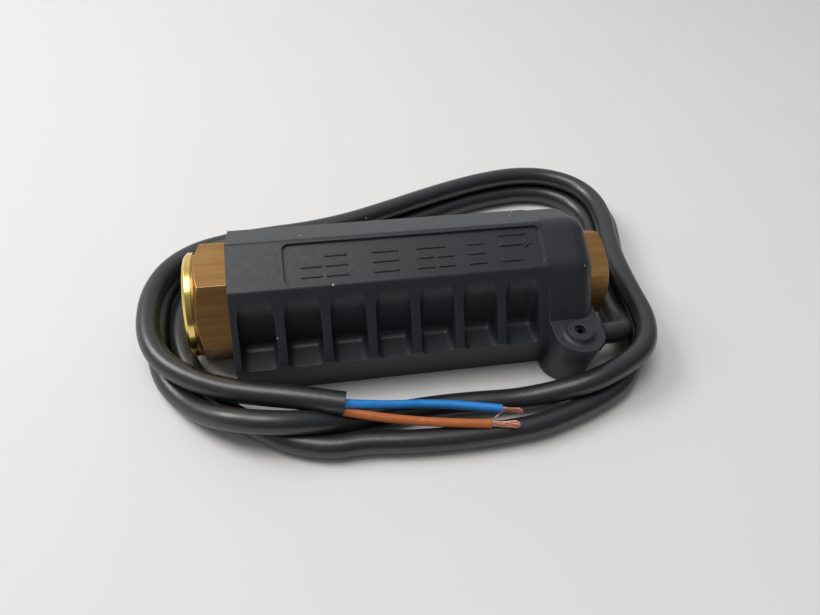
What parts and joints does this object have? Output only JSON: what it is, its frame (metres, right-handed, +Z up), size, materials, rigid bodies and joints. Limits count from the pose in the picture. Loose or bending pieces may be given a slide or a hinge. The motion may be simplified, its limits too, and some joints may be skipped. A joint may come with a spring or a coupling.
{
  "type": "flow switch",
  "caption": "Inline flow switch: ribbed black housing on a brass through-tube with hexagon ends, a spring-loaded magnet piston inside and a coiled two-core cable.",
  "frame": {"origin": "on the flat underside, below the flow axis, at the middle of the moulded housing's length", "axes": "+X along the flow from inlet to outlet, +Z up from the underside, the lug with the cable exit on the -Y side"},
  "size_m": [0.1542, 0.1094, 0.0331],
  "materials": {
    "housing_plastic": "moulded glass-filled plastic, fine grain",
    "screw_steel": "blackened steel",
    "brass": "turned and drawn brass, bright edges",
    "seal_rubber": "plain black rubber",
    "piston_plastic": "machined white plastic",
    "magnet": "plain dark sintered magnet",
    "spring_steel": "bright spring steel",
    "board": "green laminate",
    "reed_glass": "clear glass",
    "lead_metal": "tinned metal",
    "grommet_rubber": "plain black rubber",
    "cable_sheath": "smooth black sheath with a soft sheen",
    "blue_insulation": "smooth blue insulation",
    "brown_insulation": "smooth light brown insulation",
    "copper": "bare copper strands"
  },
  "bodies": {
    "case": {"housing": "housing_plastic", "base_cover": "housing_plastic", "cover_screw_1": "screw_steel", "cover_screw_2": "screw_steel", "cover_screw_3": "screw_steel", "cover_screw_4": "screw_steel", "cable_clamp_screw": "screw_steel", "flow_body": "brass", "outlet_fitting": "brass", "seat_ring": "brass", "outlet_seal": "seal_rubber", "seat_washer": "seal_rubber", "return_spring": "spring_steel", "spring_guide": "piston_plastic", "circlip": "spring_steel", "carrier_board": "board", "reed_glass": "reed_glass", "reed_lead_1": "lead_metal", "reed_lead_2": "lead_metal", "crimp_sleeve_1": "lead_metal", "crimp_sleeve_2": "lead_metal", "cable_grommet": "grommet_rubber", "cable_root": "cable_sheath", "cable": "cable_sheath", "blue_tail": "blue_insulation", "brown_tail": "brown_insulation", "blue_core": "blue_insulation", "brown_core": "brown_insulation", "blue_strands": "copper", "brown_strands": "copper"},
    "shuttle": {"piston": "piston_plastic", "ring_magnet": "magnet", "magnet_cap": "piston_plastic"}
  },
  "joints": [
    {"name": "piston_slide", "type": "slide", "parent": "case", "child": "shuttle", "axis": [1, 0, 0], "range_m": [0, 0.009], "stiffness_N_per_m": 60, "springref_m": -0.004, "deforming": ["return_spring"]}
  ]
}
